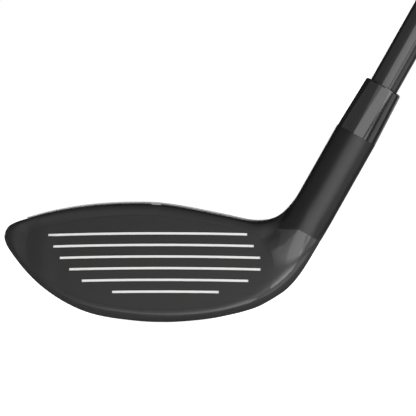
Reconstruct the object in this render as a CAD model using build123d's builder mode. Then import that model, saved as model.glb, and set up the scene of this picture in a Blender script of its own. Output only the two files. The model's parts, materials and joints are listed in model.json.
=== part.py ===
from build123d import *
import os
from math import cos, hypot, pi, radians, sin, sqrt

# Right-handed hybrid golf club, standing at address.
# Frame: +Z up, -Y towards the target, +X from toe to heel. The origin is the point of the
# sole that touches the ground, and the shaft axis lies in the plane Y = 0. Millimetres.

# ---- club
lie_angle = 60.5
loft_angle = 22.0
club_length = 1003.0  # ground to butt cap along the shaft axis
axis_ground_x = 28.3  # where the shaft axis meets the ground
edge_break = 0.3  # small bevel on turned pieces
bond_gap = 0.05  # glue line, and the fit of pieces that are pressed or welded in
running_gap = 0.1  # fit of pieces that turn or slide
clear_of_head = 10.0  # how far outside the head its cuts begin

# ---- head
toe_reach = 49.75
toe_tip_y = 3.2
toe_tip_z = 27.0
crown_height = 38.2
rear_reach = 42.5
face_progression = 17.0  # leading edge ahead of the shaft axis
face_radius = 400.0  # bulge and roll
rim_softness = 3.0  # how far the rounding of the face rim reaches in depth
wall = 1.7
crown_thickness = 0.8
crown_ledge = 3.0
crown_front = 2.2  # front edge of the crown plate, ahead of the crest
crown_spread = 0.8  # share of the way from crest to rear that the crown plate covers
crown_joint_drop = 14.2  # the crown plate ends within this depth below the top of the crown
crown_end_share = 0.82  # share of the toe reach that the crown plate spans
face_thickness = 2.2
face_ledge_thickness = 1.2
face_ledge_width = 2.0
face_rim_top = 4.0
face_rim_bottom = 4.4
face_rim_toe = 5.0
face_rim_heel = 1.5  # heel end of the face plate, past the foot of the shaft axis

# ---- score lines, in the plane of the face
score_width = 0.85
score_depth = 0.45
score_recess = 0.12
score_top = 7.7  # top line below the crown, along the face
score_bottom = 10.8  # bottom line above the leading edge, along the face
# Ends of each line: in from the toe, then past the foot of the shaft axis.
score_ends = ((14.15, -1.0), (15.75, 1.1), (17.85, 3.1), (20.85, 3.2), (24.85, -0.7), (34.45, -10.0))

# ---- alignment mark on the front of the crown
mark_x = -1.5
mark_y = 0.6
mark_width = 3.0
mark_length = 2.0
mark_thickness = 0.12

# ---- hosel, sleeve and hosel screw, by distance from the ground along the axis
hosel_wall = 1.2
hosel_length = 68.1
neck_top = 44.0  # from here up the hosel is a plain tube
guard = 0.6  # metal kept around the hosel where the face runs into it
neck_softness = 3.0
boss_wall = 1.6
insert_bottom = 23.0
insert_web = 5.0
insert_hole_gap = 0.15  # room around the screw
spline_length = 4.0
spline_count = 8
spline_width = 1.6
spline_height = 0.5
spline_step = 0.18  # spline tips below the outside of the sleeve
sleeve_wall = 0.83
sleeve_gap = 0.07  # sliding fit of the sleeve in the hosel
sleeve_block = 10.0  # solid end that takes the screw
flange_thickness = 1.2
ferrule_step = 0.15  # ferrule inside the hosel's outline
ferrule_skirt = 0.45  # wall of the ferrule around the flange
ferrule_taper = 0.65
ferrule_length = 17.7
port_room = 0.4  # around the screw head
screw_radius = 2.45
screw_length = 14.0  # under the head
screw_hole_depth = 9.0
screw_head_radius = 4.3
screw_head_height = 4.6
socket_radius = 1.75
socket_lobe = 0.55
socket_depth = 2.6
washer_thickness = 0.9
retainer_thickness = 2.2
retainer_lip = 1.3  # how far the retainer reaches under the screw head

# ---- sole weight
weight_x = -2.0
weight_y = 24.0
weight_radius = 7.0
weight_thickness = 5.0
weight_recess = 0.5
gasket_thickness = 0.6
weight_boss_wall = 1.5
weight_screw_radius = 1.95
weight_screw_head_radius = 3.4
weight_screw_head_height = 2.1
weight_screw_sink = 0.9  # top of the screw head below the sole surface
weight_screw_reach = 12.0  # tip of the screw below the sole surface
weight_socket_radius = 1.3
weight_socket_lobe = 0.42
weight_socket_depth = 1.4

# ---- hot melt that traps loose grains inside the toe
melt_toe_distance = 19.75  # from the toe to the middle of the pad
melt_y = 2.0
melt_length = 12.0
melt_width = 15.0
melt_depth = 3.0

# ---- shaft
tip_radius = 4.7
tip_parallel_end = 118.0
butt_radius = 7.6
tip_wall = 1.6
butt_wall = 0.9
tip_plug_length = 12.0

# ---- grip
grip_length = 267.0
grip_mouth_build = 1.3  # mouth radius over the butt radius of the shaft
grip_butt_build = 5.6
grip_lip_length = 3.0
grip_lip_height = 0.5
tape_thickness = 0.2
stick_gap = 0.02  # between shaft, tape and grip
cap_thickness = 5.0
cap_edge = 2.2
vent_radius = 1.5

# ---- sizes that follow from the ones above
tip_bore_radius = tip_radius - tip_wall
butt_bore_radius = butt_radius - butt_wall
sleeve_radius = tip_radius + bond_gap + sleeve_wall
bore_radius = sleeve_radius + sleeve_gap
hosel_radius = bore_radius + hosel_wall
ferrule_radius = hosel_radius - ferrule_step
ferrule_top_radius = ferrule_radius - ferrule_taper
flange_radius = ferrule_radius - ferrule_skirt - bond_gap
spline_tip = sleeve_radius - spline_step
spline_root = spline_tip - spline_height
port_radius = screw_head_radius + port_room
retainer_hole = screw_head_radius - retainer_lip
grip_mouth_radius = butt_radius + grip_mouth_build
grip_butt_radius = butt_radius + grip_butt_build
crown_joint_level = crown_height - crown_joint_drop
score_first = crown_height / 2 - score_top
score_pitch = (crown_height - score_top - score_bottom) / (len(score_ends) - 1)
melt_x = melt_toe_distance - toe_reach

# ---- directions and planes
lie_turn = radians(lie_angle)
loft_turn = radians(loft_angle)
along_hosel = Vector(cos(lie_turn), 0, sin(lie_turn))
across_hosel = Vector(-sin(lie_turn), 0, cos(lie_turn))  # out of the hosel on its toe side
face_normal = Vector(0, -cos(loft_turn), sin(loft_turn))
face_up = Vector(0, sin(loft_turn), cos(loft_turn))
face_middle = Vector(0, -face_progression, 0) + face_up * crown_height / 2
face_centre = face_middle - face_normal * face_radius
face_plane = Plane(origin=face_middle, x_dir=(1, 0, 0), z_dir=face_normal)


def on_hosel(along, across=0.0):
    return Vector(axis_ground_x, 0, 0) + along_hosel * along + across_hosel * across


hosel_plane = Plane(origin=on_hosel(0), x_dir=across_hosel, z_dir=along_hosel)
profile_plane = Plane(origin=on_hosel(0), x_dir=across_hosel, z_dir=(0, 1, 0))
hosel_axis = Axis(on_hosel(0), along_hosel)


# ---- head form
# The form runs from the toe to the hosel through closed sections. Each row below gives the
# crown point, the sole point and the front and rear reach of a section, then the share of its
# height where front and rear stand out furthest, the y of its crest and keel, and the fullness
# of its quarters: bottom front, top front, top rear, bottom rear (2 is an ellipse).
# Body rows: share of the toe reach, crown and sole heights as shares of the crown height,
# front y past the leading edge, share of the rear reach, then the shape.
body_rows = (
    (-0.991, 0.762, 0.652, 17.2, 0.137, 0.50, 0.50, 3.2, 3.2, 2.0, 2.0, 2.0, 2.0),
    (-0.961, 0.812, 0.584, 12.0, 0.245, 0.45, 0.50, 3.6, 3.4, 2.0, 2.0, 2.0, 2.0),
    (-0.905, 0.848, 0.487, 7.0, 0.400, 0.42, 0.50, 4.0, 3.2, 2.05, 2.0, 2.0, 2.0),
    (-0.804, 0.890, 0.343, 2.0, 0.600, 0.38, 0.49, 4.5, 2.6, 2.1, 2.0, 1.95, 2.0),
    (-0.663, 0.935, 0.202, -1.5, 0.782, 0.33, 0.47, 5.0, 1.8, 2.1, 2.0, 1.9, 2.0),
    (-0.482, 0.974, 0.086, -3.5, 0.912, 0.28, 0.44, 5.4, 1.0, 2.1, 2.0, 1.85, 2.0),
    (-0.241, 0.997, 0.022, -4.5, 0.985, 0.24, 0.41, 5.6, 0.3, 2.1, 2.0, 1.8, 2.0),
    (0.0, 0.992, 0.0, -4.5, 1.0, 0.22, 0.40, 5.6, 0.0, 2.1, 2.0, 1.8, 2.0),
    (0.241, 0.942, 0.017, -4.0, 0.960, 0.23, 0.41, 5.3, 0.0, 2.1, 2.0, 1.8, 2.0),
    (0.447, 0.887, 0.062, -2.0, 0.855, 0.26, 0.44, 4.6, 0.0, 2.1, 2.0, 1.85, 2.0),
)
# Heel rows: crown point as distance along the hosel axis and outside the hosel, sole point as
# distance along the axis and inside the hosel, front and rear outside the hosel, then the shape.
heel_rows = (
    (28.9, 8.02, 7.3, 5.55, 6.65, 21.65, 0.26, 0.47, 3.2, 0.0, 2.05, 2.0, 1.9, 2.0),
    (31.65, 3.82, 16.3, 1.45, 2.15, 12.65, 0.28, 0.50, 1.6, 0.0, 2.0, 2.0, 2.0, 2.0),
    (34.9, 1.52, 25.0, 0.29, 0.45, 5.15, 0.38, 0.50, 0.6, 0.0, 2.0, 2.0, 2.0, 2.0),
    (38.7, 0.46, 33.9, 0.07, 0.10, 1.75, 0.50, 0.50, 0.1, 0.0, 2.0, 2.0, 2.0, 2.0),
)
round_shape = (0.5, 0.5, 0.0, 0.0, 2.0, 2.0, 2.0, 2.0)
station_step = 5.0
quarter_points = 12


def hosel_row(along):
    crown, sole = on_hosel(along, hosel_radius), on_hosel(along, -hosel_radius)
    return (crown.X, crown.Z, sole.X, sole.Z, -hosel_radius, hosel_radius, *round_shape)


def form_rows(inset=0.0):
    # All rows as crown x and z, sole x and z, front, rear and shape, drawn in by the inset.
    rows = []
    for share, crown, sole, front, rear, *shape in body_rows:
        x = share * (toe_reach - (inset if share < 0 else 0))
        top, bottom = crown * crown_height - inset, sole * crown_height + inset
        front_y, rear_y = front - face_progression, rear * (rear_reach - inset)
        rows.append((x, top, x, bottom, front_y, rear_y, *shape))
    for crown_along, crown_out, sole_along, sole_in, front, rear, *shape in heel_rows:
        crown = on_hosel(crown_along, hosel_radius + crown_out - inset)
        sole = on_hosel(sole_along, sole_in - hosel_radius + inset)
        front_y, rear_y = -hosel_radius - front, hosel_radius + rear - inset
        rows.append((crown.X, crown.Z, sole.X, sole.Z, front_y, rear_y, *shape))
    return rows


def between_rows(rows, step):
    # Smooth stations about one step apart along the middle line of the form.
    places = [0.0]
    for one, two in zip(rows, rows[1:]):
        run = hypot(two[0] + two[2] - one[0] - one[2], two[1] + two[3] - one[1] - one[3]) / 2
        places.append(places[-1] + run)
    slopes = []
    for index, row in enumerate(rows):
        low, high = max(index - 1, 0), min(index + 1, len(rows) - 1)
        before = max(places[index] - places[low], 1e-9)
        after = max(places[high] - places[index], 1e-9)
        slope = []
        for last, here, following in zip(rows[low], row, rows[high]):
            arriving, leaving = (here - last) / before, (following - here) / after
            slope.append((arriving * after + leaving * before) / (before + after))
        slopes.append(slope)
    stations = [rows[0]]
    for index in range(len(rows) - 1):
        run = places[index + 1] - places[index]
        parts = max(1, round(run / step))
        for part in range(1, parts + 1):
            t = part / parts
            start, start_slope = 2 * t**3 - 3 * t**2 + 1, (t**3 - 2 * t**2 + t) * run
            end, end_slope = 3 * t**2 - 2 * t**3, (t**3 - t**2) * run
            ends = zip(rows[index], slopes[index], rows[index + 1], slopes[index + 1])
            stations.append([start * a + start_slope * b + end * c + end_slope * d for a, b, c, d in ends])
    return stations


def behind_face(x, y, z):
    # Moves a point straight back to the face, softly at the rim, and never into the hosel.
    face_y = face_centre.Y - sqrt(face_radius**2 - x**2 - (z - face_centre.Z) ** 2)
    across = (Vector(x, 0, z) - on_hosel(0)).dot(across_hosel)
    hosel_y = -sqrt(max((hosel_radius + guard) ** 2 - across**2, 0))
    limit = min(face_y, hosel_y)
    if abs(face_y - hosel_y) < neck_softness:
        limit -= (neck_softness - abs(face_y - hosel_y)) ** 2 / (4 * neck_softness)
    ahead = limit - y
    if ahead <= -rim_softness:
        return y
    if ahead >= rim_softness:
        return limit
    return y + (ahead + rim_softness) ** 2 / (4 * rim_softness)


def section(row, faced):
    crown_x, crown_z, sole_x, sole_z, front, rear, front_level, rear_level, crest, keel, *fullness = row
    sole = Vector(sole_x, 0, sole_z)
    rise = Vector(crown_x, 0, crown_z) - sole
    quarters = (
        (keel, front_level, front - keel, -front_level),
        (crest, front_level, front - crest, 1 - front_level),
        (crest, rear_level, rear - crest, 1 - rear_level),
        (keel, rear_level, rear - keel, -rear_level),
    )
    points = []
    for quarter, (centre_y, level, width, height) in enumerate(quarters):
        power = fullness[quarter]
        for step in range(quarter_points):
            turn = step / quarter_points * pi / 2
            out, up = (sin(turn), cos(turn)) if quarter % 2 == 0 else (cos(turn), sin(turn))
            size = (out**power + up**power) ** (-1 / power)
            place = sole + rise * (level + height * up * size)
            y = centre_y + width * out * size
            points.append(Vector(place.X, behind_face(place.X, y, place.Z) if faced else y, place.Z))
    turns = [step / len(points) for step in range(len(points) + 1)]
    return Face(Wire([Edge.make_spline(points, periodic=True, parameters=turns)]))


def form_sections(inset, rows, faced):
    toe = Vertex(-toe_reach + inset, toe_tip_y, toe_tip_z)
    return [toe, *[section(row, faced) for row in between_rows(rows, station_step)]]


outer_rows = [*form_rows(), hosel_row(neck_top - 1), hosel_row(neck_top)]

with BuildPart() as head_form:
    loft(sections=form_sections(0, outer_rows, True))
    neck_end = head_form.faces().sort_by(hosel_axis)[-1]
    extrude(neck_end, amount=hosel_length - neck_top)


def core_rows(inset):
    # The same form without its face and neck, for the hollow inside.
    return form_rows(inset)[: len(body_rows) + 2]


def rod(place, radius, start, end, mode=Mode.ADD):
    # A cylinder along the axis of a plane, between two distances from it.
    with Locations(place.offset(start)):
        Cylinder(radius, end - start, align=(Align.CENTER, Align.CENTER, Align.MIN), mode=mode)


# ---- sole weight place, square to the sole
centre_row = form_rows()[body_rows.index(min(body_rows, key=lambda row: abs(row[0])))]
weight_share = weight_y / centre_row[5]
weight_level = centre_row[7] * centre_row[1]
weight_z = weight_level * (1 - sqrt(1 - weight_share**2))
weight_slope = weight_level * weight_share / sqrt(1 - weight_share**2) / centre_row[5]
weight_plane = Plane(
    origin=(weight_x, weight_y, weight_z), x_dir=(1, 0, 0), z_dir=(0, -weight_slope, 1)
)
pocket_radius = weight_radius + running_gap
pocket_depth = weight_thickness + weight_recess + bond_gap + gasket_thickness
weight_boss_top = weight_screw_reach + weight_boss_wall


# ---- outlines of the openings
def face_outline_points(margin):
    # Follows the edge of the face, in the plane of the face.
    rows = between_rows(form_rows(), station_step)
    toe_end, heel_end = face_rim_toe + margin - toe_reach, axis_ground_x + face_rim_heel
    wanted = [row for row in rows if toe_end < row[0] < heel_end]
    top, bottom = [], []
    for crown_x, crown_z, sole_x, sole_z, *shape in wanted:
        top.append((crown_x, crown_z - face_rim_top - margin))
        bottom.append((sole_x, sole_z + face_rim_bottom + margin))
    outline = [*top, *reversed(bottom)]
    return [(x, (z - face_middle.Z) / cos(loft_turn)) for x, z in outline]


def crown_outline_points(margin):
    # Follows the crown between the crest and the rear edge, seen from above.
    rows = [row for row in form_rows() if abs(row[0]) < crown_end_share * toe_reach][:-2]
    front, rear = [], []
    for crown_x, crown_z, sole_x, sole_z, front_y, rear_y, front_level, rear_level, crest, *shape in rows:
        x = crown_x * (1 - margin / toe_reach)
        front.append((x, crest - crown_front + margin))
        rear.append((x, crest + (rear_y - crest) * crown_spread - margin))
    return [*front, *reversed(rear)]


def star(place, radius, lobe, start, depth, mode):
    # A six-lobed driver socket, cut along the axis of a plane.
    with BuildSketch(place.offset(start)) as outline:
        Circle(radius)
        with PolarLocations(radius, 6):
            Circle(lobe)
    extrude(outline.sketch, amount=depth, mode=mode)


# ---- hollows and openings of the head
with BuildPart() as hollow:
    loft(sections=form_sections(wall, core_rows(wall), False))
    with Locations(face_centre):
        Sphere(face_radius - face_thickness - face_ledge_thickness, mode=Mode.INTERSECT)
    rod(hosel_plane, bore_radius + boss_wall, -clear_of_head, hosel_length, mode=Mode.SUBTRACT)
    rod(
        weight_plane, pocket_radius + weight_boss_wall, -clear_of_head, pocket_depth + weight_boss_wall,
        mode=Mode.SUBTRACT,
    )
    rod(weight_plane, weight_screw_radius + weight_boss_wall, 0, weight_boss_top, mode=Mode.SUBTRACT)

with BuildPart() as under_crown:
    loft(sections=form_sections(crown_thickness, core_rows(crown_thickness), False))

with BuildPart() as crown_prism:
    with BuildSketch(Plane.XY.offset(crown_joint_level)):
        with BuildLine():
            Spline(*crown_outline_points(bond_gap), periodic=True)
        make_face()
    extrude(amount=crown_height)

with BuildPart() as crown_pocket:
    with BuildSketch(Plane.XY.offset(crown_joint_level)):
        with BuildLine():
            Spline(*crown_outline_points(0), periodic=True)
        make_face()
    extrude(amount=crown_height)
    loft(
        sections=form_sections(crown_thickness + bond_gap, core_rows(crown_thickness + bond_gap), False),
        mode=Mode.SUBTRACT,
    )

with BuildPart() as crown_window:
    with BuildSketch(Plane.XY.offset(crown_joint_level)):
        with BuildLine():
            Spline(*crown_outline_points(crown_ledge), periodic=True)
        make_face()
    extrude(amount=crown_height)

face_reach = 3 * face_thickness  # the face prisms run this far each way from the face plane

with BuildPart() as face_pocket:
    with BuildSketch(face_plane.offset(-face_reach)):
        with BuildLine():
            Spline(*face_outline_points(0), periodic=True)
        make_face()
    extrude(amount=2 * face_reach)
    with Locations(face_centre):
        Sphere(face_radius - face_thickness - bond_gap, mode=Mode.SUBTRACT)

with BuildPart() as face_window:
    with BuildSketch(face_plane.offset(-face_reach)):
        with BuildLine():
            Spline(*face_outline_points(face_ledge_width), periodic=True)
        make_face()
    extrude(amount=2 * face_reach)

with BuildPart() as mark_block:
    with BuildSketch(Plane.XY.offset(crown_joint_level)):
        with Locations((mark_x, mark_y)):
            RectangleRounded(mark_width, mark_length, mark_length / 4)
    extrude(amount=crown_height)
    loft(sections=form_sections(mark_thickness, core_rows(mark_thickness), True), mode=Mode.SUBTRACT)

# ---- head casting
with BuildPart() as head_body:
    add(head_form.part)
    add(hollow.part, mode=Mode.SUBTRACT)
    add(crown_pocket.part, mode=Mode.SUBTRACT)
    add(crown_window.part, mode=Mode.SUBTRACT)
    add(face_pocket.part, mode=Mode.SUBTRACT)
    add(face_window.part, mode=Mode.SUBTRACT)
    add(mark_block.part, mode=Mode.SUBTRACT)
    rod(hosel_plane, bore_radius, insert_bottom, hosel_length + clear_of_head, mode=Mode.SUBTRACT)
    rod(hosel_plane, port_radius, -clear_of_head, insert_bottom, mode=Mode.SUBTRACT)
    rod(weight_plane, pocket_radius, -clear_of_head, pocket_depth, mode=Mode.SUBTRACT)
    rod(weight_plane, weight_screw_radius + bond_gap, 0, weight_screw_reach + bond_gap, mode=Mode.SUBTRACT)

# ---- face plate, score lines and their paint
with BuildPart() as score_grooves:
    with BuildSketch(face_plane.offset(-face_reach)):
        for index, (from_toe, past_axis) in enumerate(score_ends):
            toe_end, heel_end = from_toe - toe_reach, axis_ground_x + past_axis
            with Locations(((toe_end + heel_end) / 2, score_first - index * score_pitch)):
                Rectangle(heel_end - toe_end, score_width)
    extrude(amount=2 * face_reach)
    with Locations(face_centre):
        Sphere(face_radius - score_depth, mode=Mode.SUBTRACT)

with BuildPart() as face_plate:
    with BuildSketch(face_plane.offset(-face_reach)):
        with BuildLine():
            Spline(*face_outline_points(bond_gap), periodic=True)
        make_face()
    extrude(amount=2 * face_reach)
    add(head_form.part, mode=Mode.INTERSECT)
    with Locations(face_centre):
        Sphere(face_radius - face_thickness, mode=Mode.SUBTRACT)
    add(score_grooves.part, mode=Mode.SUBTRACT)

with BuildPart() as score_line_paint:
    add(score_grooves.part)
    with Locations(face_centre):
        Sphere(face_radius - score_recess, mode=Mode.INTERSECT)

# ---- crown plate and alignment mark
with BuildPart() as crown_plate:
    add(crown_prism.part)
    add(head_form.part, mode=Mode.INTERSECT)
    add(under_crown.part, mode=Mode.SUBTRACT)

with BuildPart() as alignment_mark:
    add(mark_block.part)
    add(head_form.part, mode=Mode.INTERSECT)


# ---- hot melt
def sole_height(x):
    rows = form_rows()
    for one, two in zip(rows, rows[1:]):
        if one[2] <= x <= two[2]:
            return one[3] + (two[3] - one[3]) * (x - one[2]) / (two[2] - one[2])
    return 0.0


melt_top = sole_height(melt_x) + wall + melt_depth

with BuildPart() as hot_melt_pad:
    loft(sections=form_sections(wall + bond_gap, core_rows(wall + bond_gap), False))
    with Locations((melt_x, melt_y, melt_top)):
        Box(
            melt_length, melt_width, crown_height,
            align=(Align.CENTER, Align.CENTER, Align.MAX), mode=Mode.INTERSECT,
        )

# ---- splined insert at the bottom of the hosel bore
insert_top = insert_bottom + insert_web + spline_length
sleeve_bottom = insert_bottom + insert_web + bond_gap

with BuildPart() as spline_insert:
    rod(hosel_plane, bore_radius - bond_gap, insert_bottom, insert_top)
    rod(hosel_plane, screw_radius + insert_hole_gap, insert_bottom, insert_top, mode=Mode.SUBTRACT)
    with BuildSketch(hosel_plane.offset(insert_bottom + insert_web)):
        Circle(spline_root + running_gap)
        with PolarLocations(spline_tip / 2 + running_gap / 2, spline_count):
            Rectangle(spline_tip + running_gap, spline_width + 2 * running_gap)
    extrude(amount=spline_length, mode=Mode.SUBTRACT)

# ---- adapter sleeve
flange_bottom = hosel_length + bond_gap
flange_top = flange_bottom + flange_thickness
block_top = sleeve_bottom + sleeve_block
shaft_bottom = block_top + bond_gap

with BuildPart() as adapter_sleeve:
    with BuildSketch(hosel_plane.offset(sleeve_bottom)):
        Circle(spline_root)
        with PolarLocations(spline_tip / 2, spline_count):
            Rectangle(spline_tip, spline_width)
    extrude(amount=insert_top - sleeve_bottom + running_gap)
    rod(hosel_plane, sleeve_radius, insert_top + running_gap, flange_bottom)
    rod(hosel_plane, flange_radius, flange_bottom, flange_top)
    rod(hosel_plane, tip_radius + bond_gap, block_top, flange_top, mode=Mode.SUBTRACT)
    hole_top = sleeve_bottom + screw_hole_depth
    rod(hosel_plane, screw_radius + bond_gap, sleeve_bottom, hole_top, mode=Mode.SUBTRACT)

# ---- ferrule over the flange
ferrule_top = flange_bottom + ferrule_length
ferrule_bore = tip_radius + bond_gap
skirt_bore = flange_radius + bond_gap
skirt_top = flange_top + bond_gap

with BuildPart() as ferrule:
    with BuildSketch(profile_plane):
        with BuildLine():
            Polyline(
                (skirt_bore, flange_bottom),
                (ferrule_radius - edge_break, flange_bottom),
                (ferrule_radius, flange_bottom + edge_break),
                (ferrule_top_radius, ferrule_top - edge_break),
                (ferrule_top_radius - edge_break, ferrule_top),
                (ferrule_bore, ferrule_top),
                (ferrule_bore, skirt_top),
                (skirt_bore, skirt_top),
                close=True,
            )
        make_face()
    revolve(axis=hosel_axis)

# ---- shaft
grip_end = club_length - cap_thickness - bond_gap
grip_mouth = club_length - grip_length
shaft_top = grip_end - bond_gap


def shaft_radius(along):
    share = (along - tip_parallel_end) / (shaft_top - tip_parallel_end)
    return tip_radius + (butt_radius - tip_radius) * max(share, 0)


with BuildPart() as shaft:
    with BuildSketch(profile_plane):
        with BuildLine():
            Polyline(
                (tip_bore_radius, shaft_bottom),
                (tip_radius, shaft_bottom),
                (tip_radius, tip_parallel_end),
                (butt_radius, shaft_top),
                (butt_bore_radius, shaft_top),
                (tip_bore_radius, tip_parallel_end),
                close=True,
            )
        make_face()
    revolve(axis=hosel_axis)

with BuildPart() as shaft_tip_plug:
    rod(hosel_plane, tip_bore_radius - bond_gap, shaft_bottom, shaft_bottom + tip_plug_length)

# ---- grip
with BuildPart() as grip_tape:
    tape_start = grip_mouth + grip_lip_length
    with BuildSketch(profile_plane):
        with BuildLine():
            Polyline(
                (shaft_radius(tape_start) + stick_gap, tape_start),
                (shaft_radius(tape_start) + stick_gap + tape_thickness, tape_start),
                (butt_radius + stick_gap + tape_thickness, shaft_top),
                (butt_radius + stick_gap, shaft_top),
                close=True,
            )
        make_face()
    revolve(axis=hosel_axis)

grip_fit = 2 * stick_gap + tape_thickness
lip_radius = grip_mouth_radius + grip_lip_height

with BuildPart() as grip_sleeve:
    with BuildSketch(profile_plane):
        with BuildLine():
            Polyline(
                (shaft_radius(grip_mouth) + grip_fit, grip_mouth),
                (grip_mouth_radius, grip_mouth),
                (lip_radius, grip_mouth + grip_lip_height),
                (lip_radius, grip_mouth + grip_lip_length - grip_lip_height),
                (grip_mouth_radius, grip_mouth + grip_lip_length),
                (grip_butt_radius, grip_end),
                (shaft_radius(grip_end) + grip_fit, grip_end),
                close=True,
            )
        make_face()
    revolve(axis=hosel_axis)

with BuildPart() as grip_cap:
    rod(hosel_plane, grip_butt_radius, club_length - cap_thickness, club_length)
    fillet(grip_cap.edges().sort_by(hosel_axis)[-1], cap_edge)
    rod(hosel_plane, vent_radius, club_length - cap_thickness, club_length, mode=Mode.SUBTRACT)

# ---- hosel screw, its washer and the ring that keeps it in the port
screw_seat = insert_bottom - washer_thickness - 2 * bond_gap
screw_bottom = screw_seat - screw_head_height

with BuildPart() as hosel_screw:
    rod(hosel_plane, screw_head_radius, screw_bottom, screw_seat)
    chamfer(hosel_screw.edges().sort_by(hosel_axis)[0], edge_break)
    rod(hosel_plane, screw_radius, screw_seat, screw_seat + screw_length)
    star(hosel_plane, socket_radius, socket_lobe, screw_bottom, socket_depth, Mode.SUBTRACT)

with BuildPart() as screw_washer:
    rod(hosel_plane, screw_head_radius, screw_seat + bond_gap, insert_bottom - bond_gap)
    rod(hosel_plane, screw_radius + insert_hole_gap, screw_seat, insert_bottom, mode=Mode.SUBTRACT)

retainer_top = screw_bottom - running_gap

with BuildPart() as screw_retainer:
    rod(hosel_plane, port_radius - bond_gap, retainer_top - retainer_thickness, retainer_top)
    rod(hosel_plane, retainer_hole, retainer_top - retainer_thickness, retainer_top, mode=Mode.SUBTRACT)

# ---- sole weight, its gasket and its screw
weight_inner = weight_recess + weight_thickness
weight_screw_seat = weight_screw_sink + weight_screw_head_height

with BuildPart() as weight_gasket:
    rod(weight_plane, weight_radius - running_gap, pocket_depth - gasket_thickness, pocket_depth)
    rod(
        weight_plane, weight_screw_radius + insert_hole_gap, pocket_depth - gasket_thickness, pocket_depth,
        mode=Mode.SUBTRACT,
    )

with BuildPart() as sole_weight:
    rod(weight_plane, weight_radius, weight_recess, weight_inner)
    chamfer(sole_weight.edges().sort_by(Axis(weight_plane.origin, weight_plane.z_dir))[0], edge_break)
    rod(weight_plane, weight_screw_radius + insert_hole_gap, 0, weight_inner, mode=Mode.SUBTRACT)
    counterbore = weight_screw_head_radius + insert_hole_gap
    rod(weight_plane, counterbore, 0, weight_screw_seat + bond_gap, mode=Mode.SUBTRACT)

with BuildPart() as weight_screw:
    rod(weight_plane, weight_screw_head_radius, weight_screw_sink, weight_screw_seat)
    rod(weight_plane, weight_screw_radius, weight_screw_seat, weight_screw_reach)
    star(
        weight_plane, weight_socket_radius, weight_socket_lobe, weight_screw_sink, weight_socket_depth,
        Mode.SUBTRACT,
    )

# ---- files, one for each piece
pieces = {
    "head_body": head_body,
    "face_plate": face_plate,
    "score_line_paint": score_line_paint,
    "crown_plate": crown_plate,
    "alignment_mark": alignment_mark,
    "hot_melt_pad": hot_melt_pad,
    "spline_insert": spline_insert,
    "adapter_sleeve": adapter_sleeve,
    "ferrule": ferrule,
    "shaft": shaft,
    "shaft_tip_plug": shaft_tip_plug,
    "grip_tape": grip_tape,
    "grip_sleeve": grip_sleeve,
    "grip_cap": grip_cap,
    "hosel_screw": hosel_screw,
    "screw_washer": screw_washer,
    "screw_retainer": screw_retainer,
    "weight_gasket": weight_gasket,
    "sole_weight": sole_weight,
    "weight_screw": weight_screw,
}
os.makedirs("parts", exist_ok=True)
for name, piece in pieces.items():
    piece.part.label = name
    export_step(piece.part, f"parts/{name}.step")
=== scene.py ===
import json
import math

import bpy
from mathutils import Matrix, Vector


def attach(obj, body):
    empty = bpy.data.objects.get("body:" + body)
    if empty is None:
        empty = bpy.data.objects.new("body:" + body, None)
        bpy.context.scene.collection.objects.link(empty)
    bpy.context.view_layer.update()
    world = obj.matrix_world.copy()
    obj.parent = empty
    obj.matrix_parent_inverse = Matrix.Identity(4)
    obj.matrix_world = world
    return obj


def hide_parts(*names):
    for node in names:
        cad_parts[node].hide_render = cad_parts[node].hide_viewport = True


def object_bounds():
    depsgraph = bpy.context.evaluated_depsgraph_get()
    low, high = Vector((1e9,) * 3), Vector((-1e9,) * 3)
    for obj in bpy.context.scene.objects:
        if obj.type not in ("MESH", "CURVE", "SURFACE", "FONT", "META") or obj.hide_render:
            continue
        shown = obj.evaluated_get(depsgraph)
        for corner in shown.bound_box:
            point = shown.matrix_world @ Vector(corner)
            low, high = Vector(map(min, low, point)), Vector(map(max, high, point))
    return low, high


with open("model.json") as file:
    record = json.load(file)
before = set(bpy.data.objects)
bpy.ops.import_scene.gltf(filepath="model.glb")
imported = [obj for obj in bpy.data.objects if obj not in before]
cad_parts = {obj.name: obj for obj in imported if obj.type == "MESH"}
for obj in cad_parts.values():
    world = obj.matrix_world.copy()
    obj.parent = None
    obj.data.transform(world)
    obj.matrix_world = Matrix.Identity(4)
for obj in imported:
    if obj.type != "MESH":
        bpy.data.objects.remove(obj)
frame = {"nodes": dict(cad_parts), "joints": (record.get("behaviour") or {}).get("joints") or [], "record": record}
cadLow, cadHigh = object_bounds()
nodes = frame["nodes"]
joints = {joint["name"]: joint for joint in frame["joints"]}
mounts = {mount["name"]: mount for mount in frame["record"]["mounts"]}
print("frame loaded with", len(nodes), "nodes")

mm = 0.001

# The hosel axis, from the joint along it and a point on it, set down to the ground.
axisAlong = Vector(joints["sleeve_lift"]["axis"]).normalized()
axisPoint = Vector(mounts["hosel_bore"]["pos_m"])
axisFoot = axisPoint - axisAlong * (axisPoint.z / axisAlong.z)
axisToe = Vector((-axisAlong.z, 0, axisAlong.x))  # out of the hosel on its toe side
axisFrame = Matrix((axisToe, axisAlong.cross(axisToe), axisAlong)).transposed().to_4x4()
axisFrame.translation = axisFoot


# ---- shader building
class Value:
    # A shader socket that takes part in plain arithmetic.
    def __init__(self, finish, socket):
        self.finish = finish
        self.socket = socket

    def __add__(self, other):
        return self.finish.maths("ADD", self, other)

    def __sub__(self, other):
        return self.finish.maths("SUBTRACT", self, other)

    def __rsub__(self, other):
        return self.finish.maths("SUBTRACT", other, self)

    def __mul__(self, other):
        return self.finish.maths("MULTIPLY", self, other)

    def __truediv__(self, other):
        return self.finish.maths("DIVIDE", self, other)

    __radd__ = __add__
    __rmul__ = __mul__


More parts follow.
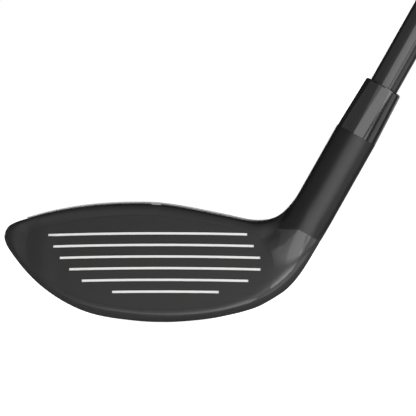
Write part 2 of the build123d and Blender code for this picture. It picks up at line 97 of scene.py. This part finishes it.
class Finish:
    # One procedural material, its shader and the nodes that feed it.
    def __init__(self, name, shader):
        self.material = bpy.data.materials.new(name)
        self.material.use_nodes = True
        self.tree = self.material.node_tree
        self.shader = self.tree.nodes["Principled BSDF"]
        self.place = self.node("TexCoord", output="Object")
        self.wear(shader)

    def feed(self, socket, value):
        if isinstance(value, Value):
            self.tree.links.new(value.socket, socket)
        elif socket.type == "RGBA":
            socket.default_value = (*value, 1)
        else:
            socket.default_value = value

    def node(self, kind, settings=None, sockets=None, output=0):
        made = self.tree.nodes.new("ShaderNode" + kind)
        for name, value in (settings or {}).items():
            setattr(made, name, value)
        for name, value in (sockets or {}).items():
            self.feed(made.inputs[name], value)
        return Value(self, made.outputs[output])

    def wear(self, sockets):
        for name, value in sockets.items():
            self.feed(self.shader.inputs[name], value)

    def maths(self, operation, one, two=0.0):
        return self.node("Math", {"operation": operation}, {0: one, 1: two})

    def most(self, one, two):
        return self.maths("MAXIMUM", one, two)

    def blend(self, factor, one, two):
        return self.node("Mix", {"data_type": "RGBA"}, {0: factor, 6: one, 7: two}, output=2)

    def scaled(self, place, scale):
        return self.node("VectorMath", {"operation": "MULTIPLY"}, {0: place, 1: scale})

    def distanceTo(self, point):
        # Millimetres from a point.
        ends = {0: self.place, 1: tuple(point * mm)}
        return self.node("VectorMath", {"operation": "DISTANCE"}, ends, output="Value") / mm

    def besideAxis(self, direction):
        # Millimetres from the foot of the hosel axis, along a direction.
        dot = {0: self.place, 1: tuple(direction / mm)}
        reach = self.node("VectorMath", {"operation": "DOT_PRODUCT"}, dot, output="Value")
        return reach - axisFoot.dot(direction) / mm

    def noise(self, size, detail=3.0, place=None):
        # Noise whose features are about this many millimetres across.
        sockets = {"Vector": place or self.place, "Scale": 1 / (size * mm)}
        sockets.update({"Detail": detail, "Roughness": 0.55})
        return self.node("TexNoise", {}, sockets, output="Fac")

    def edge(self, value, start, end):
        # 0 below the start, 1 above the end, straight between.
        sockets = {"Value": value, "From Min": start, "From Max": end}
        return self.node("MapRange", {"clamp": True}, sockets)

    def relief(self, height, depth):
        # Bumps this many millimetres deep.
        sockets = {"Height": height, "Distance": depth * mm}
        self.wear({"Normal": self.node("Bump", {}, sockets)})


def grey(level):
    # Linear colour of a screen grey from 0 to 255.
    share = level / 255
    light = share / 12.92 if share <= 0.04045 else ((share + 0.055) / 1.055) ** 2.4
    return (light, light, light)


# ---- finishes, with sizes and depths in millimetres
faceShape = {
    "radius": 400.0,  # of its bulge and roll
    "loft": 22.0,
    "progression": 17.0,  # its foot is this far in front of the middle of the head
    "halfHeight": 19.1,
}
faceTurn = math.radians(faceShape["loft"])
faceNormal = Vector((0, -math.cos(faceTurn), math.sin(faceTurn)))
faceUp = Vector((0, math.sin(faceTurn), math.cos(faceTurn)))
faceMiddle = Vector((0, -faceShape["progression"], 0)) + faceUp * faceShape["halfHeight"]
faceCentre = faceMiddle - faceNormal * faceShape["radius"]

faceLook = {
    "colour": grey(44),
    "worn": grey(56),
    "wornSize": 16.0,
    "roughness": 0.42,
    "metallic": 0.4,
    "milling": 0.16,  # between milling lines
    "millingStretch": 0.012,  # lower for longer lines
    "grain": 0.12,
    "depth": 0.012,
}


def faceSkin(finish):
    # Colour, roughness and relief of the satin face, with fine level milling lines.
    look = faceLook
    lines = finish.noise(look["milling"], 1.0, finish.scaled(finish.place, (look["millingStretch"], 1, 1)))
    grain = finish.noise(look["grain"], 2.0)
    patches = finish.noise(look["wornSize"], 4.0, finish.scaled(finish.place, (0.6, 1, 1)))
    worn = finish.edge(patches, 0.55, 0.8)
    colour = finish.blend(lines * 0.3 + worn * 0.15, look["colour"], look["worn"])
    roughness = look["roughness"] + (lines - 0.5) * 0.1 - worn * 0.05
    return colour, roughness, lines * 0.7 + grain * 0.3


def faceMetal():
    finish = Finish("faceMetal", {"Metallic": faceLook["metallic"]})
    colour, roughness, relief = faceSkin(finish)
    finish.wear({"Base Color": colour, "Roughness": roughness})
    finish.relief(relief, faceLook["depth"])
    return finish


paintLook = {
    "gloss": grey(40),
    "glossRoughness": 0.4,
    "coat": 1.0,
    "coatRoughness": 0.1,
    "matte": grey(18),
    "matteRoughness": 0.36,
    "flake": grey(30),
    "flakeSize": 0.25,
    "flakeShare": 0.35,
    "cloudSize": 14.0,
    "rubSize": 5.0,
    "crownRubSize": 9.0,
    "rubRoughness": 0.05,
    "depth": 0.008,
    "lineAlong": 33.1,  # matte paint begins this far up the hosel
    "lineFall": 0.51,  # and falls away towards the toe, so that it runs nearly level
    "lineWidth": 0.12,
    "lineWander": 0.15,
    "faceSkin": 0.1,  # paint this close to the face takes the finish of the face
    "faceBlend": 0.7,  # and has lost it this far away
}


def headPaint():
    look = paintLook
    finish = Finish("headPaint", {"Coat IOR": 1.5, "Coat Roughness": look["coatRoughness"]})
    along, across = finish.besideAxis(axisAlong), finish.besideAxis(axisToe)
    lift = along - look["lineAlong"] + finish.most(across - 1.0, 0.0) * look["lineFall"]
    wander = (finish.noise(7.0, 1.0) - 0.5) * look["lineWander"]
    matte = finish.edge(lift + wander, -look["lineWidth"], look["lineWidth"])
    depth = finish.maths("ABSOLUTE", finish.distanceTo(faceCentre) - faceShape["radius"])
    skin = 1 - finish.edge(depth, look["faceSkin"], look["faceBlend"])
    flake, cloud = finish.noise(look["flakeSize"], 2.0), finish.noise(look["cloudSize"], 2.0)
    scuffs = finish.noise(look["rubSize"], 6.0, finish.scaled(finish.place, (1, 1, 2.5)))
    rub = finish.edge(scuffs, 0.62, 0.75)
    colour = finish.blend(matte, look["gloss"], look["matte"])
    colour = finish.blend(flake * cloud * look["flakeShare"], colour, look["flake"])
    roughness = look["glossRoughness"] + matte * (look["matteRoughness"] - look["glossRoughness"])
    roughness = roughness + rub * look["rubRoughness"] + (flake - 0.5) * 0.05
    satin, satinRoughness, satinRelief = faceSkin(finish)
    finish.wear({
        "Base Color": finish.blend(skin, colour, satin),
        "Roughness": roughness * (1 - skin) + satinRoughness * skin,
        "Metallic": skin * faceLook["metallic"],
        "Coat Weight": (1 - matte) * (1 - skin) * look["coat"],
    })
    paintRelief = flake * (0.2 + matte * 0.8) + cloud * 0.4
    finish.relief(paintRelief * (1 - skin) + satinRelief * skin, look["depth"])
    return finish


def crownPaint():
    look = paintLook
    finish = Finish("crownPaint", {})
    flake, cloud = finish.noise(look["flakeSize"], 2.0), finish.noise(look["cloudSize"], 2.0)
    scuffs = finish.noise(look["crownRubSize"], 6.0, finish.scaled(finish.place, (1, 2.5, 1)))
    rub = finish.edge(scuffs, 0.62, 0.78)
    finish.wear({
        "Base Color": finish.blend(flake * cloud * look["flakeShare"], look["matte"], look["flake"]),
        "Roughness": look["matteRoughness"] + rub * look["rubRoughness"] + (flake - 0.5) * 0.05,
    })
    finish.relief(flake + cloud * 0.4, look["depth"])
    return finish


lineLook = {
    "scores": ((0.66, 0.66, 0.65), (0.40, 0.39, 0.38)),  # clean and grimy paint
    # the alignment mark's paint is the white score paint darkened to grey: painted shade that dims the mark
    "mark": (grey(160), grey(110)),
    "roughness": 0.42,
    "depth": 0.02,
}


def linePaint(name, clean, grimy):
    finish = Finish(name, {})
    grain = finish.noise(0.3, 4.0)
    grime = finish.edge(finish.noise(2.5, 5.0), 0.66, 0.9)
    finish.wear({
        "Base Color": finish.blend(grime * 0.5, clean, grimy),
        "Roughness": lineLook["roughness"] + grain * 0.2,
    })
    finish.relief(grain, lineLook["depth"])
    return finish


shaftLook = {
    "colour": grey(18),
    "wrap": grey(26),
    "plyPitch": 38.0,  # along the shaft for one turn of a ply's edge
    "fibre": 0.35,
    "roughness": 0.30,
    "coatRoughness": 0.06,
    "depth": 0.006,
}


def shaftGraphite():
    look = shaftLook
    finish = Finish("shaftGraphite", {"Coat Weight": 1.0, "Coat Roughness": look["coatRoughness"]})
    along, toe, front = (finish.besideAxis(Vector(way)) for way in (axisAlong, axisToe, (0, -1, 0)))
    turn = finish.maths("ARCTAN2", front, toe)
    ply = finish.edge(finish.maths("SINE", turn * 2 + along * (2 * math.pi / look["plyPitch"])), 0.9, 1.0)
    strands = finish.node("CombineXYZ", {}, {"X": toe, "Y": front, "Z": along * 0.01})
    fibre = finish.noise(look["fibre"] / mm, 2.0, strands)  # the strands are in millimetres already
    finish.wear({
        "Base Color": finish.blend(fibre * 0.5 + ply * 0.15, look["colour"], look["wrap"]),
        "Roughness": look["roughness"] + fibre * 0.15,
    })
    finish.relief(fibre * 0.5 + finish.noise(9.0, 1.0) * 0.6, look["depth"])
    return finish


ferruleLook = {
    "colour": grey(22),
    "cloud": grey(30),
    "roughness": 0.12,
    "coatRoughness": 0.08,
    "depth": 0.0008,
}


def ferrulePlastic():
    look = ferruleLook
    finish = Finish("ferrulePlastic", {"Coat Weight": 1.0, "Coat Roughness": look["coatRoughness"]})
    polish, cloud = finish.noise(0.5, 3.0), finish.noise(6.0, 2.0)
    finish.wear({
        "Base Color": finish.blend(cloud * 0.3, look["colour"], look["cloud"]),
        "Roughness": look["roughness"] + polish * 0.06,
    })
    finish.relief(polish, look["depth"])
    return finish


gripLook = {"colour": grey(34), "dust": grey(62), "pores": 0.35, "roughness": 0.62, "depth": 0.06}


def gripRubber():
    look = gripLook
    finish = Finish("gripRubber", {"Specular IOR Level": 0.35, "Sheen Weight": 0.15})
    pores = finish.noise(look["pores"], 4.0)
    dust = finish.edge(finish.noise(6.0, 6.0), 0.5, 0.8)
    palms = finish.edge(finish.noise(45.0, 3.0), 0.45, 0.65)
    finish.wear({
        "Base Color": finish.blend(dust * 0.3 + palms * 0.12, look["colour"], look["dust"]),
        "Roughness": look["roughness"] + pores * 0.16 - palms * 0.1,
    })
    finish.relief(pores, look["depth"])
    return finish


def turnedMetal(name, colour, roughness, ring=0.3):
    # Metal from the lathe, with fine marks and a little dirt.
    finish = Finish(name, {"Metallic": 1.0})
    marks = finish.noise(ring, 3.0)
    dirt = finish.edge(finish.noise(3.0, 5.0), 0.58, 0.8)
    worn = tuple(part * 0.45 for part in colour)
    finish.wear({
        "Base Color": finish.blend(dirt * 0.6 + marks * 0.2, colour, worn),
        "Roughness": roughness + marks * 0.14 + dirt * 0.2,
    })
    finish.relief(marks, 0.006)
    return finish


def softFill(name, colour, shade, roughness, size=0.8, depth=0.05):
    # Rubber, tape, glue and plain mouldings: mottled and slightly uneven.
    finish = Finish(name, {"Specular IOR Level": 0.4})
    grain = finish.noise(size, 5.0)
    cloud = finish.noise(size * 9, 2.0)
    finish.wear({
        "Base Color": finish.blend(grain * 0.5 + cloud * 0.4, colour, shade),
        "Roughness": roughness + grain * 0.15,
    })
    finish.relief(grain, depth)
    return finish


finishes = {
    "head_paint": headPaint(),
    "face_metal": faceMetal(),
    "crown_paint": crownPaint(),
    "white_paint": linePaint("scorePaint", *lineLook["scores"]),
    "hot_melt": softFill("hotMelt", (0.62, 0.45, 0.18), (0.42, 0.28, 0.10), 0.3, 1.5),
    "insert_steel": turnedMetal("insertSteel", (0.42, 0.41, 0.40), 0.32),
    "sleeve_aluminium": turnedMetal("sleeveAluminium", (0.60, 0.61, 0.62), 0.26),
    "ferrule_plastic": ferrulePlastic(),
    "shaft_graphite": shaftGraphite(),
    "plug_plastic": softFill("plugPlastic", (0.55, 0.54, 0.5), (0.42, 0.41, 0.38), 0.45),
    "grip_rubber": gripRubber(),
    "tape": softFill("gripTape", (0.62, 0.58, 0.48), (0.50, 0.46, 0.37), 0.7, 1.2, 0.03),
    "screw_steel": turnedMetal("screwSteel", (0.36, 0.35, 0.34), 0.24, 0.2),
    "weight_metal": turnedMetal("weightMetal", (0.30, 0.29, 0.28), 0.30, 0.25),
    "gasket_rubber": softFill("gasketRubber", (0.03, 0.03, 0.03), (0.05, 0.05, 0.05), 0.7),
}
nodeSlots = {part["node"]: part["material_slot"] for part in frame["record"]["subparts"]}
for name, node in nodes.items():
    for index in range(len(node.data.materials)):
        node.material_slots[index].material = finishes[nodeSlots[name]].material
# The mark gets a darker grey copy of the white score paint: painted shade on the mark.
shadedMarkPaint = linePaint("shadedMarkPaint", *lineLook["mark"])  # greyer than the score lines in the same slot
nodes["alignment_mark"].material_slots[0].material = shadedMarkPaint.material
print("finishes made:", len(finishes))


# ---- turned pieces, with sizes in millimetres
sharpAngle = 38.0  # a turned edge sharper than this stays crisp


def rings(name):
    # Distance along the axis, inner and outer radius of each ring of points of a turned node.
    found = {}
    for vertex in nodes[name].data.vertices:
        local = axisFrame.inverted() @ vertex.co
        radius = math.hypot(local.x, local.y)
        key = round(local.z / mm, 2)
        low, high = found.get(key, (radius, radius))
        found[key] = (min(low, radius), max(high, radius))
    return [(key * mm, *found[key]) for key in sorted(found)]


def lathe(name, outer, inner, segments, relief=None):
    # Turns an outer and an inner line of (radius, distance) into one closed hollow piece.
    # The relief lowers a point of the outer line by its angle and distance.
    loops = [(radius, along, True) for radius, along in outer]
    loops += [(radius, along, False) for radius, along in reversed(inner)]
    points = []
    for radius, along, outside in loops:
        for step in range(segments):
            turn = step / segments * 2 * math.pi
            size = radius - (relief(turn, along) if relief and outside else 0)
            points.append((size * math.cos(turn), size * math.sin(turn), along))
    faces = []
    for loop in range(len(loops)):
        after = (loop + 1) % len(loops)
        for step in range(segments):
            side = (step + 1) % segments
            corners = (loop, step), (loop, side), (after, side), (after, step)
            faces.append([row * segments + column for row, column in corners])
    mesh = bpy.data.meshes.new(name)
    mesh.from_pydata(points, [], faces)
    mesh.transform(axisFrame)
    mesh.shade_smooth()
    mesh.set_sharp_from_angle(angle=math.radians(sharpAngle))
    piece = bpy.data.objects.new(name, mesh)
    bpy.context.collection.objects.link(piece)
    return piece


def placeTurned(piece, node, body):
    piece.data.materials.append(finishes[nodeSlots[node]].material)
    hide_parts(node)
    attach(piece, body)


# ---- shaft
shaftShape = {"segments": 144, "edge": 0.25}


def makeShaft():
    found = rings("shaft")
    start, end = found[0][0], found[-1][0]
    bevel = shaftShape["edge"] * mm
    outer = [(found[0][2] - bevel, start), (found[0][2], start + bevel)]
    outer += [(high, along) for along, low, high in found[1:-1] if high - low > bevel]
    outer += [(found[-1][2], end - bevel), (found[-1][2] - bevel, end)]
    inner = [(low, along) for along, low, high in found]
    return lathe("shaft_tube", outer, inner, shaftShape["segments"])


placeTurned(makeShaft(), "shaft", "shaft_assembly")
print("shaft turned")

# ---- ferrule
ferruleShape = {
    "segments": 144,
    "flush": 0.12,  # added to its foot, to lie flush with the hosel
    "foot": 0.2,  # height of its straight foot
    "seat": 0.04,  # sunk towards the hosel rim
    "round": 0.55,
    "steps": 6,
    "topFrom": 5.0,  # its top begins this far above its middle
    "skirtStep": 0.5,  # the bore narrows by at least this above the skirt
}


def makeFerrule():
    look = ferruleShape
    found = rings("ferrule")
    start, end = found[0][0], found[-1][0]
    skirtBore, bore = found[0][1], found[-1][1]
    seat = start - look["seat"] * mm
    wide = max(high for along, low, high in found) + look["flush"] * mm
    top = max(high for along, low, high in found if along > (start + end) / 2 + look["topFrom"] * mm)
    bend = look["round"] * mm
    outer = [(wide, seat), (wide, start + look["foot"] * mm)]
    for step in range(look["steps"] + 1):
        turn = step / look["steps"] * math.pi / 2
        outer.append((top - bend + bend * math.cos(turn), end - bend + bend * math.sin(turn)))
    outer.append((bore, end))
    skirt = next(along for along, low, high in found if low < skirtBore - look["skirtStep"] * mm)
    inner = [(skirtBore, seat), (skirtBore, skirt), (bore, skirt)]
    return lathe("ferrule_collar", outer, inner, look["segments"])


placeTurned(makeFerrule(), "ferrule", "shaft_assembly")
print("ferrule turned")

# ---- grip
gripShape = {
    "segments": 252,
    "step": 0.42,  # between rings of points
    "depth": 0.38,
    "strands": 18,  # helical grooves each way
    "pitch": 62.0,  # along the grip for one turn of a groove
    "width": 0.15,  # groove width as a share of its spacing
    "plainMouth": 9.0,
    "plainButt": 10.0,
    "bandEvery": 49.0,
    "bandWidth": 7.0,
    "bandGroove": 0.9,
    "fade": 1.5,  # grooves deepen over this length from a plain end
    "skin": 1.15,  # the outside is at least this many times the bore
}


def groove(place, width):
    # 1 in the middle of a repeating groove and 0 outside it, with soft sides.
    off = abs(place % 1.0 - 0.5) * 2
    edge = (off - (1 - 2 * width)) / (2 * width)
    return 0.0 if edge <= 0 else edge * edge * (3 - 2 * edge)


def makeGrip():
    look = gripShape
    found = rings("grip_sleeve")
    start, end = found[0][0], found[-1][0]
    profile = [(along, high) for along, low, high in found if high > found[0][1] * look["skin"]]
    inner = [(found[0][1], start), (found[-1][1], end)]

    def radiusAt(along):
        for (one, oneRadius), (two, twoRadius) in zip(profile, profile[1:]):
            if one <= along <= two:
                return oneRadius + (twoRadius - oneRadius) * (along - one) / max(two - one, 1e-9)
        return profile[-1][1]

    def relief(turn, along):
        place = (along - start) / mm
        room = min(place - look["plainMouth"], (end - along) / mm - look["plainButt"])
        if room <= 0:
            return 0.0
        band = (room % look["bandEvery"]) - look["bandEvery"] + look["bandWidth"]
        if band > 0:  # a plain ring with a groove at each side
            side = min(band, look["bandWidth"] - band) / look["bandGroove"]
            return look["depth"] * mm * max(0.0, 1 - abs(side - 1))
        share = turn / (2 * math.pi) * look["strands"]
        twist = place / look["pitch"] * look["strands"]
        cut = max(groove(share + twist, look["width"]), groove(share - twist, look["width"]))
        fade = min(1.0, room / look["fade"])
        return look["depth"] * mm * cut * fade

    count = round((end - start) / (look["step"] * mm))
    places = sorted({along for along, radius in profile} | {
        start + (end - start) * index / count for index in range(count + 1)
    })
    outer = [(radiusAt(along), along) for along in places]
    return lathe("grip_cover", outer, inner, look["segments"], relief)


placeTurned(makeGrip(), "grip_sleeve", "shaft_assembly")
print("grip moulded")

# ---- grip cap
capShape = {
    "segments": 144,
    "round": 2.2,
    "steps": 10,
    "ringAt": (5.2, 8.6),  # radii of the shallow rings in its flat end
    "ringDepth": 0.35,
    "ringWidth": 0.5,
    "edge": 0.2,
    "holeEdge": 0.3,
}


def makeCap():
    look = capShape
    found = rings("grip_cap")
    start, end = found[0][0], found[-1][0]
    radius = max(high for along, low, high in found)
    hole = min(low for along, low, high in found)
    bend = look["round"] * mm
    edge, holeEdge = look["edge"] * mm, look["holeEdge"] * mm
    outer = [(radius - edge, start), (radius, start + edge)]
    for step in range(look["steps"] + 1):
        turn = step / look["steps"] * math.pi / 2
        outer.append((radius - bend + bend * math.cos(turn), end - bend + bend * math.sin(turn)))
    for place in reversed(look["ringAt"]):
        for off, drop in ((1, 0), (0.5, 1), (-0.5, 1), (-1, 0)):
            outer.append((place * mm + off * look["ringWidth"] * mm, end - drop * look["ringDepth"] * mm))
    outer += [(hole + holeEdge, end), (hole, end - holeEdge)]
    return lathe("grip_end", outer, [(hole, start)], look["segments"])


placeTurned(makeCap(), "grip_cap", "shaft_assembly")
print("grip cap turned")

# ---- studio
studio = {
    "backdrop": 1.0,
    "surround": 0.03,
    "aim": (0.0149, -0.004, 0.0362),  # middle of the view
    "boxDistance": 1.5,
}
softboxes = {  # azimuth, elevation, angles across and up that it fills, brightness, seen in gloss
    "key": (15, 0, 60, 30, 1.45, True),
    "right": (60, 15, 30, 60, 2.3, True),
    "low": (7, -30, 45, 30, 2.0, True),
    "lowRight": (40, -32, 30, 30, 1.3, True),
    "lowLeft": (-30, -30, 30, 30, 0.75, True),
    "under": (45, -60, 40, 30, 1.4, True),
    "upper": (15, 30, 60, 30, 0.62, True),
    "upperRight": (90, 60, 40, 30, 0.45, True),
    "sideLow": (90, -30, 30, 30, 0.45, True),
    "sideBack": (135, 0, 40, 30, 0.3, True),
    "left": (-60, 30, 80, 30, 0.17, True),
    "leftLow": (-60, -30, 30, 30, 0.18, True),
    "back": (180, 12, 30, 24, 2.0, True),
    "top": (0, 90, 50, 50, 1.0, False),
}


def wayTo(azimuth, elevation):
    # Direction from the head, with azimuth 0 in front of the face.
    turn, rise = math.radians(azimuth), math.radians(elevation)
    return Vector((math.sin(turn) * math.cos(rise), -math.cos(turn) * math.cos(rise), math.sin(rise)))


def aimFrom(item, way, distance):
    item.location = Vector(studio["aim"]) + way * distance
    item.rotation_euler = (-way).to_track_quat("-Z", "Y").to_euler()


def makeWorld():
    # White to the camera and nearly dark to everything else, which the softboxes light.
    world = bpy.data.worlds.new("studio")
    bpy.context.scene.world = world
    world.use_nodes = True
    tree = world.node_tree
    sky = tree.nodes["Background"]
    seen = tree.nodes.new("ShaderNodeLightPath")
    shade = tree.nodes.new("ShaderNodeMix")
    shade.inputs[2].default_value = studio["surround"]
    shade.inputs[3].default_value = studio["backdrop"]
    tree.links.new(seen.outputs["Is Camera Ray"], shade.inputs[0])
    tree.links.new(shade.outputs[0], sky.inputs["Strength"])
    sky.inputs["Color"].default_value = (1, 1, 1, 1)


def makeSoftboxes():
    distance = studio["boxDistance"]
    for name, (azimuth, elevation, across, up, brightness, shiny) in softboxes.items():
        width, height = (2 * distance * math.tan(math.radians(angle / 2)) for angle in (across, up))
        light = bpy.data.lights.new(name, "AREA")
        light.shape = "RECTANGLE"
        light.size, light.size_y = width, height
        light.energy = 4 * brightness * width * height
        lamp = bpy.data.objects.new(name, light)
        bpy.context.collection.objects.link(lamp)
        aimFrom(lamp, wayTo(azimuth, elevation), distance)
        lamp.visible_camera = False
        lamp.visible_glossy = shiny


floorLook = {"level": 0.62, "fibre": 0.02, "glow": 1.02, "radius": 14.0, "segments": 96, "below": 0.0001}


def makeFloor():
    look = floorLook
    turns = [step / look["segments"] * 2 * math.pi for step in range(look["segments"])]
    points = [(look["radius"] * math.cos(turn), look["radius"] * math.sin(turn), 0) for turn in turns]
    mesh = bpy.data.meshes.new("floor")
    mesh.from_pydata(points, [], [list(range(look["segments"]))])
    floor = bpy.data.objects.new("floor", mesh)
    bpy.context.collection.objects.link(floor)
    paper = {"Specular IOR Level": 0.0, "Emission Strength": look["glow"], "Emission Color": (1, 1, 1)}
    finish = Finish("floorPaper", paper)
    fibre = finish.noise(4.0, 4.0)
    pale, paler = ((level, level, level) for level in (look["level"], look["level"] + look["fibre"]))
    finish.wear({"Base Color": finish.blend(fibre, pale, paler), "Roughness": 0.8 + fibre * 0.1})
    floor.data.materials.append(finish.material)
    floor.location.z = cadLow.z - look["below"]
    floor.visible_glossy = False  # gloss shows the softboxes below the floor instead
    floor.visible_shadow = False  # and their light comes through it


cameraLook = {
    "width": 0.1316,  # of the view
    "azimuth": 0.0,
    "elevation": 0.7,
    "distance": 2.0,
    "sensor": 36.0,
    "reach": 60.0,
}


def makeCamera():
    look = cameraLook
    camera = bpy.data.cameras.new("view")
    camera.sensor_width = look["sensor"]
    camera.lens = look["sensor"] * look["distance"] / look["width"]
    camera.clip_end = look["reach"]
    holder = bpy.data.objects.new("view", camera)
    bpy.context.collection.objects.link(holder)
    aimFrom(holder, wayTo(look["azimuth"], look["elevation"]), look["distance"])
    bpy.context.scene.camera = holder
    bpy.context.scene.view_settings.view_transform = "Standard"


makeWorld()
makeSoftboxes()
makeFloor()
makeCamera()
print("studio set")
